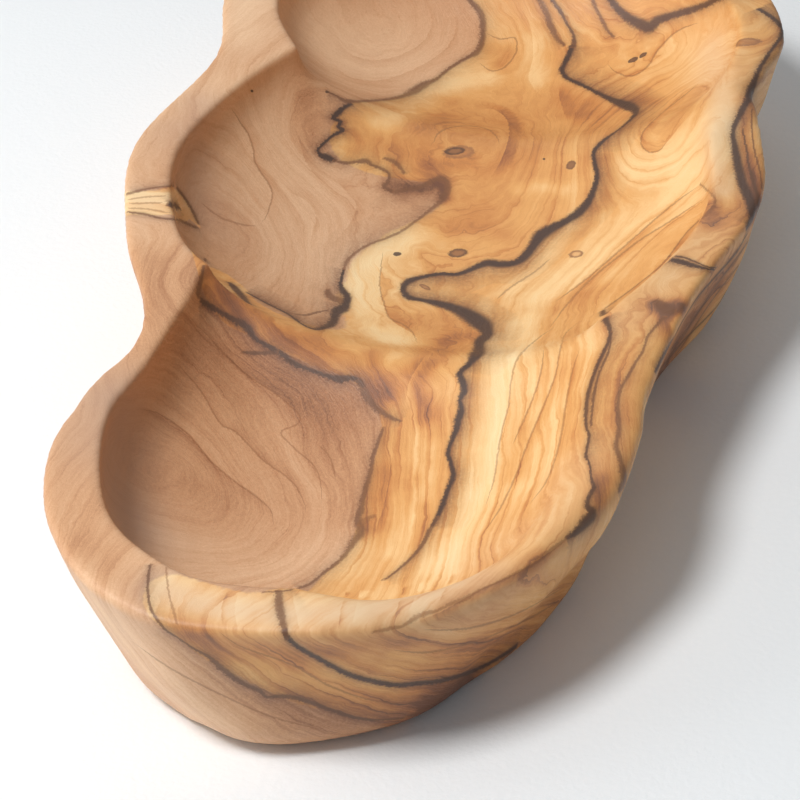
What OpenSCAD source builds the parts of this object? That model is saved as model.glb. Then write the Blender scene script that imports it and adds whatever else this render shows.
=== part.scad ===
// Divided serving dish carved from one block of olive wood.
// A flat rim with a scalloped outline runs round three oval hollows that lie in a row.
// The hollows run into one another, so the wood between them stands up as two dipped crests.
// Units are millimetres. The table is at z = 0, +Y runs along the dish and +X across it.
// The origin is on the table, under the middle of the outline.

/* [Outline] */
// Overall length of the dish along Y
dish_length = 300; // [270:1:350]
// Overall width of the dish along X
dish_width = 155; // [130:1:190]
// Height of the flat rim above the table
dish_height = 42; // [32:1:56]

/* [Outer wall] */
// How far the wall is drawn in at table level where it slopes most
wall_draw = 16; // [6:0.5:20]
// Radius that softens the outer edge of the rim
rim_round = 1.6; // [0.8:0.2:4]
// Height at which the wall starts to turn under the dish
base_round = 7; // [3:0.5:12]
// How far the turned edge runs in under the dish before it lies flat on the table
base_tuck = 5; // [2:0.5:9]

/* [Rim] */
// Width of the rim beside the widest place of each hollow
side_rim = 12.2; // [8:0.2:15]
// Width of the rim at the two tips of the dish
end_rim = 14.2; // [9:0.2:18]

/* [Hollows] */
// Length of the near hollow
near_length = 111; // [100:1:120]
// Length of the middle hollow; the far hollow takes the rest of the dish
middle_length = 128; // [116:1:134]
// How far the near and middle hollows run into each other
near_overlap = 20.6; // [14:0.2:26]
// How far the middle and far hollows run into each other
far_overlap = 34; // [28:0.2:40]
// Wood left between the table and the deepest point of each hollow
floor_thickness = 12; // [6:0.5:15]
// How full the hollows are: two gives a bowl, more gives steeper walls and a flatter floor
fullness = 2; // [1.8:0.1:2.8]
// Radius that softens the edge between the rim and a hollow
lip_round = 1.2; // [0.6:0.1:2]

/* [Smoothness] */
// Sides drawn between two neighbouring points of an outline
outline_steps = 6; // [3:1:8]
// Rings on each rounded edge
edge_rings = 3; // [2:1:5]
// Rings between the lip and the floor of a hollow
bowl_rings = 11; // [6:1:14]

/* [Hidden] */

// Outline of the rim, anticlockwise from the near tip: across and along the dish, then how much
// of the wall's full draw applies there. The right side comes first.
outline_shares = [
    [-0.09, -0.5, 0.4], [0.135, -0.472, 0.62], [0.29, -0.4, 0.62], [0.382, -0.3, 0.65],
    [0.4, -0.195, 0.75], [0.427, -0.072, 0.76], [0.5, 0.075, 0.8], [0.472, 0.2, 0.85],
    [0.492, 0.3, 0.8], [0.435, 0.4, 0.7], [0.27, 0.478, 0.6], [0.03, 0.5, 0.55],
    [-0.21, 0.475, 0.6], [-0.4, 0.405, 0.75], [-0.482, 0.3, 0.85], [-0.444, 0.185, 0.9],
    [-0.5, 0.04, 0.85], [-0.44, -0.085, 0.9], [-0.348, -0.2, 0.9], [-0.396, -0.335, 0.85],
    [-0.333, -0.437, 0.95], [-0.22, -0.486, 0.72],
];
// Width of the dish at the lobe round each hollow, and where the middle of the hollow lies across
lobe_width_shares = [0.81, 1, 0.955];
lobe_middle_shares = [-0.007, -0.003, 0.012];

// Outlines of the hollows, anticlockwise from the near side, as shares of their own boxes
near_shares = [
    [-0.11, -0.5], [0.185, -0.44], [0.4, -0.29], [0.49, -0.04], [0.5, 0.22], [0.465, 0.42], [0.18, 0.5],
    [-0.18, 0.485], [-0.42, 0.445], [-0.45, 0.3], [-0.475, 0.06], [-0.5, -0.12], [-0.42, -0.345], [-0.28, -0.46],
];
middle_shares = [
    [0.06, -0.5], [0.25, -0.464], [0.36, -0.39], [0.463, -0.172], [0.5, 0.016], [0.473, 0.203], [0.44, 0.385],
    [0.26, 0.482], [-0.04, 0.5], [-0.28, 0.43], [-0.41, 0.28], [-0.5, -0.02], [-0.455, -0.25], [-0.36, -0.39],
    [-0.18, -0.467],
];
far_shares = [
    [0, -0.5], [0.276, -0.443], [0.456, -0.264], [0.5, 0], [0.432, 0.27], [0.232, 0.468], [-0.02, 0.5],
    [-0.285, 0.4], [-0.455, 0.19], [-0.5, -0.03], [-0.446, -0.24], [-0.33, -0.4],
];
// Deepest point of each hollow, as shares of its own box
near_low_share = [-0.06, -0.08];
middle_low_share = [-0.02, 0];
far_low_share = [-0.02, 0.05];

// Last angle of the softened lip, short of a quarter turn so that a hollow leaves the rim cleanly
lip_sweep = 72;
// How far a cutter stands above the rim, as a share of the lip radius
overrun_share = 0.06;
cut_overrun = lip_round * overrun_share;

hollow_depth = dish_height - floor_thickness;
near_start = end_rim - dish_length / 2;
middle_start = near_start + near_length - near_overlap;
far_start = middle_start + middle_length - far_overlap;
far_length = dish_length / 2 - end_rim - far_start;

// Point at a share t of the way from b to c on a smooth curve through a, b, c and d
function blend(a, b, c, d, t) =
    b + t * (c - a) / 2
    + t * t * (2 * a - 5 * b + 4 * c - d) / 2
    + t * t * t * (3 * b - a - 3 * c + d) / 2;

// Smooth closed curve through a list of points
function curve(points) =
    let (n = len(points))
    [for (i = [0 : n - 1], k = [0 : outline_steps - 1])
        blend(points[(i + n - 1) % n], points[i], points[(i + 1) % n], points[(i + 2) % n], k / outline_steps)];

// A curve stretched to fill a box of a given width and length about the origin
function fill_box(points, width, length) =
    let (xs = [for (p = points) p.x],
         ys = [for (p = points) p.y],
         x_scale = width / (max(xs) - min(xs)),
         y_scale = length / (max(ys) - min(ys)),
         x_middle = (max(xs) + min(xs)) / 2,
         y_middle = (max(ys) + min(ys)) / 2)
    [for (p = points) [(p.x - x_middle) * x_scale, (p.y - y_middle) * y_scale]];

// Unit normals that point out of an anticlockwise outline
function normals(points) =
    let (n = len(points))
    [for (i = [0 : n - 1])
        let (along = points[(i + 1) % n] - points[(i + n - 1) % n])
        [along.y, -along.x] / norm(along)];

// Solid through stacked rings of equal counts, the topmost first, closed by fans to two points
module loft(rings, top, bottom) {
    n = len(rings[0]);
    last = len(rings) - 1;
    points = concat([top], [for (ring = rings) each ring], [bottom]);
    top_faces = [for (i = [0 : n - 1]) [0, 1 + (i + 1) % n, 1 + i]];
    side_faces = [for (k = [0 : last - 1], i = [0 : n - 1])
        let (a = 1 + k * n + i,
             b = 1 + k * n + (i + 1) % n)
        each [[a, b, b + n], [a, b + n, a + n]]];
    foot = 1 + last * n;
    bottom_faces = [for (i = [0 : n - 1]) [foot + i, foot + (i + 1) % n, foot + n]];
    polyhedron(points, concat(top_faces, side_faces, bottom_faces));
}

// Steps down the outer wall: share of the draw reached, extra distance inward, height
function rim_steps() =
    [for (k = [0 : edge_rings])
        let (a = 90 * k / edge_rings)
        [0, rim_round * (1 - sin(a)), dish_height - rim_round * (1 - cos(a))]];
function base_steps() =
    [for (k = [0 : edge_rings + 1])
        let (t = k / (edge_rings + 1),
             rest = (1 - t) * (1 - t))
        [1 - rest * base_round / (dish_height - rim_round), base_tuck * t * t, base_round * rest]];

// The block before it is hollowed
module blank() {
    traced = curve(outline_shares);
    outline = fill_box(traced, dish_width, dish_length);
    out = normals(outline);
    rings = [for (step = concat(rim_steps(), base_steps()))
        [for (i = [0 : len(outline) - 1])
            let (p = outline[i] - out[i] * (wall_draw * traced[i].z * step[0] + step[1]))
            [p.x, p.y, step[2]]]];
    loft(rings, [0, 0, dish_height], [0, 0, 0]);
}

// Cutter for one hollow: its rings shrink towards the deepest point and turn into plain ovals
module hollow(shares, low_share, lobe, start, length) {
    width = lobe_width_shares[lobe] * dish_width - 2 * side_rim;
    outline = fill_box(curve(shares), width, length);
    out = normals(outline);
    low = [low_share.x * width, low_share.y * length];
    lip_drop = lip_round * sin(lip_sweep) - cut_overrun;
    lip = [for (k = [edge_rings : -1 : 1])
        let (a = lip_sweep * k / edge_rings)
        [for (i = [0 : len(outline) - 1])
            let (p = outline[i] + out[i] * lip_round * (1 - cos(a)))
            [p.x, p.y, lip_round * sin(a) - lip_drop]]];
    bowl = [for (k = [0 : bowl_rings])
        let (a = 90 * k / (bowl_rings + 1),
             reach = pow(cos(a), 2 / fullness),
             drop = pow(sin(a), 2 / fullness))
        [for (q = outline)
            let (ray = (q - low) / norm(q - low),
                 oval = 1 / norm([2 * ray.x / width, 2 * ray.y / length]),
                 p = low + ray * reach * (norm(q - low) * (1 - drop) + oval * drop))
            [p.x, p.y, -lip_drop - (hollow_depth - lip_drop) * drop]]];
    translate([lobe_middle_shares[lobe] * dish_width, start + length / 2, dish_height])
        loft(concat(lip, bowl), [low.x, low.y, cut_overrun], [low.x, low.y, -hollow_depth]);
}

module dish() {
    color("burlywood")
        difference() {
            blank();
            hollow(near_shares, near_low_share, 0, near_start, near_length);
            hollow(middle_shares, middle_low_share, 1, middle_start, middle_length);
            hollow(far_shares, far_low_share, 2, far_start, far_length);
        }
}

dish();
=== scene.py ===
import math

import bpy
import numpy as np
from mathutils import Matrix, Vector
from mathutils.bvhtree import BVHTree
from mathutils.kdtree import KDTree


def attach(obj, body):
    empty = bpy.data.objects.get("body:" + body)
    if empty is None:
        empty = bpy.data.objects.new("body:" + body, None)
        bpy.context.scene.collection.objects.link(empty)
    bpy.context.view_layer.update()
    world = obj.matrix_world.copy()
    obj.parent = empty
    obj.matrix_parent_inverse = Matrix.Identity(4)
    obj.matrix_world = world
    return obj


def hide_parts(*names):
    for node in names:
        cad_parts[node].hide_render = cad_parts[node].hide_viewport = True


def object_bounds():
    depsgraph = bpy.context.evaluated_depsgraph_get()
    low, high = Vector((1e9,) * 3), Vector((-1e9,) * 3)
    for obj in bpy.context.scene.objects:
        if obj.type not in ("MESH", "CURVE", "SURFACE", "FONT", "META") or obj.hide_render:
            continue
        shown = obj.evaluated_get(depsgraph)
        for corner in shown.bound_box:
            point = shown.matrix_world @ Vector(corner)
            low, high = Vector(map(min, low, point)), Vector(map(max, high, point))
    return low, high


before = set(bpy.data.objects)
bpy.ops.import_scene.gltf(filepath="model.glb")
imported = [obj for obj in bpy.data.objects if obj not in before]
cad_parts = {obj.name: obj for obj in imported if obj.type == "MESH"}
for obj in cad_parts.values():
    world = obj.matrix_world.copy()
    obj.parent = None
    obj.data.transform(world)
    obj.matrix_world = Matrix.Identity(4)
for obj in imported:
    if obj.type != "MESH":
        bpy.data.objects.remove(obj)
cad_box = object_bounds()

MM = 0.001

# Camera: where the photograph was taken from, in the part's frame
IMAGE_SIZE = 800
FOCAL_PIXELS = 2600
SENSOR_WIDTH_MM = 36
CAMERA_PITCH = math.radians(39.5)
CAMERA_TURN = math.radians(12.5)
CAMERA_DISTANCE = 567 * MM
AIM_POINT = Vector((8.9, -72.4, 42)) * MM
PIXELS_PER_MM = FOCAL_PIXELS * MM / CAMERA_DISTANCE

# Place of each lamp in metres, its diameter and its power in watts, then the light of the room
LAMPS = {
    "lamp_above": (Vector((-0.36, -0.38, 0.9)), 0.28, 7.6),
    "window": (Vector((-0.95, -0.25, 0.42)), 0.8, 3.6),
    "far_window": (Vector((-0.25, 1.15, 0.97)), 1.4, 2.6),
}
ROOM_LIGHT = 0.24
ROOM_COLOUR = (0.91, 0.96, 1, 1)
# Table: side in metres, colour, roughness, bump, and the scale and detail of its plaster
TABLE_SIZE = 6
TABLE_COLOUR = (0.9, 0.92, 0.93, 1)
TABLE_ROUGHNESS = 0.6
TABLE_BUMP = {"Strength": 0.35, "Distance": 0.4 * MM}
PLASTER = (700.0, 4)

# Mesh of the dish, how much it is sanded, the least weight at which a crest is worn, and how many times
# its reach away the wear ends
VOXEL = 0.8 * MM
WELD_GAP = 0.001 * MM
SANDING_PASSES = 4
SANDING_STEP = 0.5
CREST_LEAST = 0.03
CREST_ENDS = 2

# Lines on the surface: how close their points are in pixels, the jump in depth that breaks one, the most
# that a slanting surface stretches them, and how many points that stretch is averaged over
TRACE_STEP = 1.5
TRACE_JUMP = 6 * MM
WIDEST_SPAN = 2.2
SPAN_WINDOW = 7
# Keeps a direction that has no length from being divided by zero
TINY = 1e-12
# How close two lines of one stored layer may be, how far a strip of sapwood reaches, how many half widths
# away a soft stroke ends, and how deep a knot goes
LAYER_GAP = 3.2 * MM
STRIP_REACH = 8 * MM
STROKE_ENDS = 2.4
KNOT_DEPTH = 6 * MM
# Colour that bleeds from a vein: how far at most, from which share of the half width on, and the half
# width in mm from which it is full
BLEED_REACH = 9 * MM
BLEED_START = 0.5
BLEED_FULL_WIDTH = 0.4
# How far past a vein in mm its distance is stored, and past a growth layer as a multiple of its fade
VEIN_MARGIN = 1.6
FLAME_MARGIN = 1.2
# Share of a line over which each end tapers
FINE_TAPER = 1 / 6
FLAME_TAPER = 1 / 4
# Fields through the lines: how far beside a line the slope is set and how soft the field is, in mm, how
# stiff its terms are, how many of them make a plane, how many parts it is worked out in, and how many
# points of a line it steps over
FIELD_OFFSET = 2.0
FIELD_SOFTNESS = 14.0
FIELD_STIFFNESS = 0.002
PLANE_STIFFNESS = 1e-6
PLANE_TERMS = 4
FIELD_PARTS = 80
GRAIN_STRIDE = 5
BORDER_STRIDE = 3

# Noises in the wood: scale per mm, detail and roughness
NOISES = {
    "slow": (0.08, 3, 0.5),
    "cloud": (0.11, 4, 0.6),
    "ripple": (0.8, 3, 0.5),
    "fray": (1.5, 5, 0.75),
    "speckle": (4.5, 2, 0.6),
}
# Noises drawn out along the grain: scale across the rings and along them, per mm, detail and roughness
GRAIN_NOISES = {
    "band": (0.12, 0.006, 3, 0.55),
    "streak": (0.5, 0.02, 5, 0.62),
    "fibre": (2.6, 0.22, 3, 0.6),
    "pore": (5.0, 0.7, 2, 0.6),
}
# How far the grain wanders in mm: in wild wood beyond plain wood, in plain wood, and in ripples
WILD_WANDER = 16.0
PLAIN_WANDER = 5.0
RING_RIPPLE = 0.8
# Late wood that darkens each ring: rings per mm, how far they wander, how sharp they are, and the values
# of the streaks between which they come out
LATE_RATE = 0.3
LATE_WANDER = 2.5
LATE_SHARPNESS = 5.0
LATE_STREAKS = (0.4, 0.62)
# How much each noise, the late wood, the soft shading and the pores change the shade of the sapwood and of
# the heartwood. What the bands and the late wood add is scaled by the contrast.
SAP_SPREADS = {"cloud": 0.6, "fibre": 0.25, "speckle": 0.25}
SAP_BANDS = {"band": 1.1, "streak": 0.9}
SAP_LATE = 0.35
HEART_SPREADS = {"fibre": 0.5, "speckle": 0.6, "fray": 0.8}
HEART_BANDS = {"band": 0.8, "streak": 0.8}
HEART_LATE = 0.3
HEART_SHADE = 0.9
PORE_EDGE = (0.62, 0.74)
PORE_SHADE = 0.25
# Edges in the wood in mm, and how much noise frays them
BORDER_EDGE = (-0.3, 0.3)
BORDER_SPREADS = {"ripple": 1.0, "fray": 0.6}
FLAME_EDGE = (-0.12, 0.12)
FLAME_FRAY = 0.6
FLAME_LEAST = 0.1
# Veins: how much they fray as a multiple of the half width and at most in mm, the least half width, where
# the edge and the thin ends fade, and how the cover grows with the tone
VEIN_FRAY = 3.5
VEIN_FRAY_MOST = 2.4
VEIN_LEAST = 0.03
VEIN_EDGE = (1.4, 0.5)
VEIN_THIN = (0.02, 0.06)
VEIN_COVER = (0.55, 0.4)
BLEED_STREAK = 0.7
BLEED_FRAY = 1.2
# Ranges of a noise or shade, each with the two values that it is turned into
BLEED_PATCHES = (0.0, 0.6, 0.5, 1.1)
GREY_SHEEN_COVER = (-0.4, 0.6, 0.8, 0.3)
WOOD_ROUGHNESS = (0.3, 0.7, 0.42, 0.56)
# Knots, with distances as shares of the half width and height
KNOT_FRAY = 0.9
KNOT_CORE = (0.35, 0.8)
KNOT_EDGE = (1.1, 0.85)
KNOT_COVER = 0.9
KNOT_CORE_COVER = (1.5, 0.3)
WOOD_BUMP = {"Strength": 0.25, "Distance": 0.3 * MM}
BUMP_SPECKLE = 0.6

# Colours as the eye sees them, 0 to 255. A palette has stops of shade and colour.
SAP_PALETTE = [
    (-1, (254, 222, 170)), (-0.5, (249, 206, 146)), (0, (231, 171, 103)),
    (0.4, (208, 140, 79)), (0.7, (172, 110, 68)), (1, (122, 80, 58)),
]
HEART_PALETTE = [(-1, (242, 202, 162)), (0, (208, 156, 114)), (0.5, (177, 123, 85)), (1, (118, 78, 55))]
VEIN_PALE = (158, 102, 60)
VEIN_DARK = (78, 59, 50)
BLEED = (112, 76, 58)
# Grey colours that the greying strokes mix in: the wood's own greyer tone, painted sheen and painted cool
# shade
GREY_SHEEN_SAP_COLOUR = (228, 194, 160)
GREY_SHEEN_HEART_COLOUR = (186, 152, 130)
KNOT_PALE = (192, 130, 82)
KNOT_DARK = (76, 58, 50)

# Stretches of crests, lips and corners of the base that are worn round: passes, reach in mm, pixels
CRESTS = [
    (60, 3.5, [(212, 262), (240, 287), (270, 306), (315, 328)]),
    (260, 9, [(300, 322), (350, 345), (430, 360), (516, 361), (560, 336), (590, 318)]),
    (120, 6, [(166, 704), (186, 726), (205, 738), (240, 741)]),
    (120, 6, [(470, 684), (510, 655), (540, 628), (572, 590)]),
    (60, 3, [(305, 58), (325, 88), (350, 108)]),
    (420, 10, [
        (396, 587), (450, 574), (500, 554), (545, 526), (578, 490), (594, 450), (600, 400), (604, 350),
    ]),
    (320, 11, [(345, 106), (400, 125), (480, 140), (560, 140), (640, 125), (704, 92)]),
]

# Small departures of the carving from its plain outline: move in mm, reach in mm, then the side and points
# on it in mm, or None and pixels of the photograph
TRIMS = [
    ((-4.2, -0.9, 0), 8, None, [(770, 62), (764, 84)]),
    ((1.6, 0, 0), 9, "right", [(60, 9), (40, 9), (12, 9)]),
    ((2, 0.5, 0), 8, None, [(628, 428), (618, 470), (606, 508), (596, 528)]),
    ((2.4, 0, 0), 12, "right", [(38, 20), (26, 22), (12, 22)]),
    ((-1.8, 2.4, 0), 9, None, [(494, 664), (528, 635), (562, 598)]),
    ((-0.1, -1.6, 0), 9, None, [(264, 732), (300, 732), (350, 724), (400, 712)]),
    ((1.6, 1.6, 0), 8, None, [(180, 719), (200, 732), (222, 739)]),
    ((1, 0, 0), 7, None, [(56, 545), (66, 566)]),
    ((-1.4, 0, 0), 6, None, [(110, 376), (102, 388)]),
]

# Dark and brown veins. Each has a tone, from 0 for a pale brown line to 1 for an inky one, then how far
# its colour bleeds to the left and to the right of the way along it, in pixels, and points:
# pixels across and down the photograph, then half the vein's width in pixels.
VEINS = {
    "main": (1, 9, 1.5, [
        (572, 45, 2.9), (569, 55, 2.5), (564, 64, 2.3), (562, 71, 2.5), (567, 78, 1.8), (580, 84, 1.6),
        (594, 91, 1.6), (608, 98, 2), (620, 103, 3.3), (630, 107, 4.1), (636, 112, 2.5), (630, 120, 1.3),
        (618, 130, 1), (603, 141, 1.4), (594, 152, 1.8), (595, 164, 2.2), (597, 176, 2.4), (594, 189, 2.6),
        (587, 203, 3.6), (578, 213, 4.1), (566, 221, 3.4), (552, 228, 4.5), (541, 235, 5.7), (533, 246, 4.1),
        (524, 257, 3.7), (514, 263, 2.9), (500, 264, 3.3), (487, 263, 3.4), (474, 268, 2.3), (458, 274, 1.8),
        (440, 274, 1.5), (422, 277, 1.8), (409, 281, 2.5), (403, 288, 2.8), (408, 297, 2.5), (422, 300, 1.8),
        (440, 304, 3.3), (456, 309, 4.1), (470, 316, 5.7), (482, 325, 6.6), (487, 334, 4.5), (480, 342, 3.7),
        (478, 352, 4.5), (470, 363, 2.5), (460, 373, 2.9), (463, 383, 3.7), (464, 391, 3.3), (460, 400, 2.1),
        (461, 410, 3.3), (458, 420, 3.7), (456, 430, 3), (451, 442, 2), (448, 453, 2.1), (451, 464, 2.3),
        (453, 476, 2.6), (448, 489, 2.3), (443, 503, 2.5), (438, 515, 2), (431, 528, 1),
    ]),
    "main_tail": (0.65, 6, 2, [
        (437, 517, 1.2), (430, 530, 2), (422, 545, 1.8), (412, 557, 1.4), (398, 570, 1.1), (384, 580, 0.8),
    ]),
    "inky": (1, 7, 5, [
        (352, 103, 1.6), (345, 107, 2), (338, 113, 3.2), (333, 118, 2), (341, 122, 1.7), (338, 127, 1.5),
        (343, 130, 1.7), (332, 136, 1.5), (324, 143, 1.6), (318, 150, 1.6), (321, 155, 2.2), (328, 158, 3.6),
        (336, 161, 1),
    ]),
    "inky_stain": (0.6, 8, 5, [
        (332, 160, 1), (345, 163, 1.6), (356, 162, 1.8), (366, 161, 2.6), (372, 165, 1.6), (382, 169, 1.8),
        (389, 174, 1.6), (388, 182, 1.8), (384, 187, 2.4), (394, 192, 1.2),
    ]),
    "inky_lobe": (0.5, 4, 11, [
        (386, 188, 1.6), (394, 192, 2), (408, 189, 2), (420, 187, 2), (432, 181, 2.2), (442, 178, 2.6),
        (447, 183, 3.2), (447, 192, 3.6), (440, 202, 2.4), (430, 210, 1.6), (416, 221, 1.2), (400, 232, 1.2),
        (384, 239, 1.1), (368, 245, 1.1), (355, 253, 1.4), (346, 263, 1.6), (342, 276, 1.8),
    ]),
    "inky_end": (1, 2, 9, [
        (344, 268, 1.6), (342, 276, 1.6), (341, 287, 2.2), (347, 297, 3.4), (345, 306, 3.8), (337, 312, 4.4),
        (333, 322, 3.4), (326, 327, 2), (314, 329, 1.4), (302, 324, 1.2), (288, 314, 1.1), (268, 304, 0.9),
        (246, 292, 0.7),
    ]),
    "inky_branch": (0.5, 5, 4, [(384, 158, 1), (393, 161, 2.2), (400, 167, 2), (405, 175, 1.4)]),
    "inky_patch": (0.6, 3, 4, [(327, 288, 2), (330, 296, 3), (338, 300, 3.4), (344, 304, 3)]),
    "inky_thread": (0.6, 1, 1, [(292, 314, 0.8), (306, 315, 0.9), (318, 312, 0.9), (330, 310, 0.6)]),
    "disc_edge": (0.6, 7, 2, [
        (405, -90, 2), (410, -75, 2.5), (418, -58, 2), (432, -44, 2.5), (450, -28, 2), (470, 0, 2.6),
        (480, 12, 3.2), (483, 24, 3.2), (482, 40, 3.2), (477, 52, 2.8), (466, 58, 1.6), (450, 68, 1.6),
        (436, 79, 1.6), (425, 84, 3), (416, 90, 3.5), (406, 95, 1.8), (390, 99, 1.4), (366, 101, 1.4),
        (346, 101, 2), (337, 96, 1), (326, 91, 0.8),
    ]),
    "twin_left": (0.55, 4, 4, [
        (538, -92, 2), (536, -80, 3), (530, -62, 2), (524, -45, 3), (527, -30, 2.5), (540, 0, 2.6),
        (546, 12, 3), (551, 26, 3.4), (557, 38, 2.4), (565, 46, 1.5),
    ]),
    "twin_right": (0.75, 4, 2, [
        (541, -36, 1), (545, -14, 1.6), (552, 0, 2), (559, 9, 2), (566, 22, 1.3), (573, 34, 1.6),
        (574, 42, 2.5), (572, 48, 3),
    ]),
    "far_fork": (0.85, 3, 5, [
        (590, -88, 2), (584, -70, 3), (580, -52, 2.5), (588, -34, 3), (600, -16, 2.5), (611, 0, 3.5),
        (620, 11, 4), (632, 20, 5), (643, 25, 6), (650, 27, 6), (657, 21, 4.5), (670, 16, 3.5),
        (688, 11, 3.5), (705, 5, 3), (724, -4, 2.5), (745, -10, 1.5),
    ]),
    "far_thin": (0.55, 2, 3, [
        (592, -8, 1.5), (594, 4, 2), (599, 14, 1.5), (603, 22, 2), (608, 31, 1.6), (615, 38, 1),
    ]),
    "right_rim": (0.95, 9, 4, [
        (757, 8, 1.5), (770, 16, 1.6), (779, 24, 2), (783, 33, 2), (775, 45, 1.6), (766, 58, 2),
        (757, 74, 2.4), (749, 97, 3.2), (738, 118, 2.6), (733, 132, 2.4), (735, 148, 3.5), (738, 165, 4.4),
        (742, 182, 4.6), (748, 196, 4.6), (752, 208, 4), (752, 218, 3.4), (746, 230, 2),
    ]),
    "right_rim_thin": (0.75, 3, 2, [
        (742, 128, 0.8), (746, 146, 1.2), (749, 166, 1.4), (754, 184, 1.5), (758, 198, 1.6), (757, 212, 1.4),
    ]),
    "right_rim_edge": (0.6, 3, 2, [
        (752, 108, 0.7), (752, 130, 0.9), (755, 152, 1), (760, 172, 0.9), (762, 190, 0.7),
    ]),
    "strip_edge": (0.3, 4, 1, [
        (699, 183, 0.8), (715, 203, 1.4), (687, 232, 0.9), (663, 263, 0.8), (633, 288, 0.8), (603, 310, 1.2),
    ]),
    "right_wall_edge": (0.8, 4, 2, [
        (748, 232, 1), (735, 254, 1.4), (714, 278, 1.6), (697, 298, 1.8), (682, 322, 1.5), (668, 348, 1.5),
        (655, 372, 1),
    ]),
    "right_wall_mid": (0.6, 3, 3, [
        (750, 238, 1), (738, 256, 1.2), (720, 280, 1), (706, 300, 1.4), (692, 322, 1), (680, 342, 0.8),
    ]),
    "right_wall_line": (0.5, 3, 3, [
        (746, 256, 1), (724, 284, 1), (704, 312, 1), (686, 340, 1), (664, 374, 1),
    ]),
    "rim_double": (0.95, 2, 4, [
        (666, 259, 1.2), (678, 261, 2.6), (692, 265, 2.2), (704, 268, 1.2), (716, 270, 0.8),
    ]),
    "rim_double_thin": (0.8, 1, 1, [
        (668, 256, 0.7), (682, 257, 0.9), (696, 262, 0.9), (708, 267, 0.7), (718, 268, 0.6),
    ]),
    "rim_spot": (0.55, 4, 4, [(655, 300, 2), (661, 305, 5), (668, 310, 5), (676, 312, 2)]),
    "rim_one": (0.85, 8, 2, [
        (602, 310, 3), (605, 319, 3.6), (610, 330, 2), (609, 340, 1.6), (603, 353, 1.6), (597, 366, 1.5),
        (592, 380, 1.4), (588, 394, 1.5), (586, 410, 1.6), (586, 424, 1.4), (589, 437, 1.5), (587, 448, 1.2),
        (586, 456, 1.5), (590, 466, 1.2), (591, 478, 1.4), (594, 487, 2), (589, 497, 2), (587, 505, 2.5),
        (592, 514, 5), (584, 524, 4.5), (576, 532, 3), (566, 538, 2),
    ]),
    "rim_one_twin": (0.7, 3, 3, [
        (611, 332, 0.8), (609, 350, 1.1), (602, 366, 1.1), (597, 380, 1.1), (594, 395, 1.3), (592, 412, 1.1),
        (591, 427, 1),
    ]),
    "rim_two": (0.55, 6, 3, [
        (665, 316, 2), (656, 326, 1.5), (648, 336, 1.4), (643, 350, 1.4), (636, 362, 1.4), (628, 376, 1.6),
        (621, 388, 1.6), (618, 402, 2), (618, 416, 2.6), (619, 430, 2.6), (616, 446, 2.6), (620, 458, 2.4),
        (623, 470, 3), (624, 482, 2.6), (618, 492, 1.2),
    ]),
    "burnt_edge": (0.22, 2, 6, [
        (570, 535, 1.4), (550, 551, 1.8), (534, 563, 2.2), (520, 571, 1.6), (500, 581, 1.4), (480, 590, 1.4),
        (462, 600, 2.6), (450, 604, 2), (436, 611, 1.4), (420, 615, 2.8), (404, 625, 1.6), (388, 629, 2),
        (372, 632, 1),
    ]),
    "far_wall": (0.9, 9, 8, [
        (199, 299, 1.6), (208, 305, 3), (222, 313, 2.6), (236, 321, 3.6), (247, 328, 4.2), (256, 339, 2),
        (270, 347, 2.6), (280, 353, 2.8), (292, 362, 2.8), (304, 368, 2.2), (316, 372, 2), (330, 377, 2.4),
        (341, 379, 4.2), (352, 378, 2.4), (360, 382, 2.8), (364, 389, 1.5),
    ]),
    "far_wall_low": (0.6, 8, 8, [
        (357, 379, 2), (363, 388, 4), (368, 398, 4.4), (376, 408, 3.4), (388, 416, 2.4), (402, 422, 1),
    ]),
    "far_wall_branch": (0.7, 3, 3, [(242, 352, 1), (254, 353, 2), (266, 353, 2), (278, 352, 2)]),
    "patch_end": (0.6, 4, 2, [(206, 258, 1), (203, 270, 1.5), (200, 284, 2), (197, 297, 2.5)]),
    "patch_knot": (0.9, 3, 3, [
        (228, 281, 1), (234, 287, 3), (240, 294, 3.2), (246, 301, 2.2), (251, 305, 1),
    ]),
    "near_border": (0.58, 7, 5, [
        (384, 426, 1.2), (378, 442, 1.8), (373, 456, 2), (371, 470, 2.2), (367, 484, 2.6), (363, 498, 2.8),
        (361, 510, 3.2), (358, 520, 3.8), (361, 531, 4.4), (355, 540, 3.6), (347, 552, 2.2), (338, 562, 1.6),
        # The end runs along the near hollow's lip as a dark line, partly painted shade
        (322, 574, 1.4), (308, 585, 1.2), (284, 591, 0.8), (262, 592, 0.5),
    ]),
    "border_spike": (0.3, 4, 4, [(359, 526, 3), (366, 520, 3.2), (374, 515, 1.6)]),
    "near_rim": (0.95, 3, 3, [
        (284, 628, 2), (287, 637, 2.6), (297, 646, 2), (314, 656, 2), (332, 666, 2), (350, 675, 2.2),
        (372, 681, 2.2), (396, 685, 2.2), (420, 683, 2), (440, 681, 1.7), (462, 675, 1.7), (484, 666, 1.6),
        (502, 656, 1.7), (518, 645, 2),
    ]),
    "near_rim_top": (0.6, 4, 4, [
        (279, 586, 3), (279, 602, 4.4), (281, 614, 4.4), (284, 628, 3.4), (288, 640, 2),
    ]),
    "near_left": (0.7, 8, 5, [
        (150, 564, 1.4), (148, 580, 1.6), (148, 592, 1.5), (150, 606, 1.5), (156, 618, 1.6), (166, 630, 1.3),
        (178, 638, 0.9), (196, 650, 1.1), (208, 656, 1.6), (218, 665, 2.4), (230, 675, 2.8), (244, 684, 2),
        (258, 690, 2.2), (267, 697, 1.2), (280, 696, 2), (296, 698, 2.2), (312, 703, 2), (330, 710, 1.6),
        (352, 717, 1.3), (376, 720, 1), (404, 718, 0.7),
    ]),
    "near_left_thin": (0.2, 2, 2, [
        (166, 566, 0.8), (167, 580, 1.2), (170, 598, 1), (174, 612, 1.6), (177, 626, 1.2),
    ]),
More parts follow.
